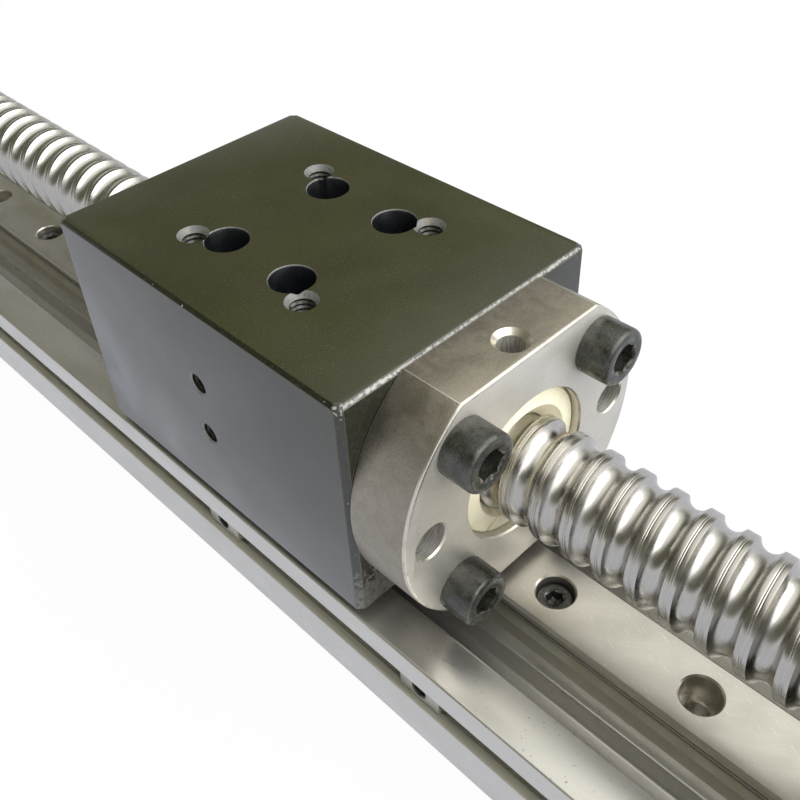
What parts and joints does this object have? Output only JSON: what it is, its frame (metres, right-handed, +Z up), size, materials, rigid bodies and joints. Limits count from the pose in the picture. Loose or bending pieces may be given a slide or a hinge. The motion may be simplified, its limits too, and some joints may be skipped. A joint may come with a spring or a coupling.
{
  "type": "ball screw linear module",
  "caption": "Linear stage: a ball screw with a flanged nut drives a block along a miniature rail on a slotted aluminium base.",
  "frame": {"origin": "middle of the base's underside, half way along the base", "axes": "+X along the screw towards the drive end, +Z up through the block's table face, +Y to the side away from the block's side holes"},
  "size_m": [0.353, 0.048, 0.061],
  "materials": {
    "base_aluminium": "matt silver anodised extrusion",
    "block_anodised": "olive-black anodised over a milled surface",
    "rail_steel": "ground bearing steel",
    "screw_steel": "polished bearing steel",
    "nut_steel": "ground steel",
    "bearing_steel": "ground bearing steel",
    "nut_plating": "nickel-plated steel",
    "black_oxide": "black oxide on steel",
    "wiper_nylon": "natural nylon",
    "guide_plastic": "moulded black plastic",
    "seal_rubber": "nitrile rubber"
  },
  "bodies": {
    "base": {"base_extrusion": "base_aluminium", "guide_rail": "rail_steel", "rail_screws": "black_oxide", "slot_nuts": "nut_plating", "fixed_end_block": "block_anodised", "floating_end_block": "block_anodised", "bearing_cover": "block_anodised", "cover_screws": "black_oxide", "fixed_block_screws": "black_oxide", "floating_block_screws": "black_oxide", "fixed_bearing_outer_rings": "bearing_steel", "floating_bearing_outer_ring": "bearing_steel"},
    "screw": {"ball_screw": "screw_steel", "fixed_bearing_inner_rings": "bearing_steel", "floating_bearing_inner_ring": "bearing_steel", "inner_collar": "bearing_steel", "outer_collar": "bearing_steel", "lock_nut": "black_oxide", "circlip": "black_oxide"},
    "carriage": {"carriage_block": "block_anodised", "ball_nut": "nut_steel", "ball_return_inserts": "black_oxide", "front_wiper": "wiper_nylon", "rear_wiper": "wiper_nylon", "nut_screws": "black_oxide", "guide_body": "rail_steel", "guide_end_caps": "guide_plastic", "guide_end_seals": "seal_rubber", "guide_screws": "black_oxide"}
  },
  "joints": [
    {"name": "screw_spin", "type": "hinge", "parent": "base", "child": "screw", "pos_m": [0, 0, 0.041], "axis": [1, 0, 0], "range_deg": [-3600, 10080]},
    {"name": "carriage_travel", "type": "slide", "parent": "base", "child": "carriage", "axis": [1, 0, 0], "range_m": [-0.14, 0.05]}
  ],
  "couplings": [
    {"joint": "screw_spin", "follows": "carriage_travel", "rad_per_m": -1256.6}
  ]
}
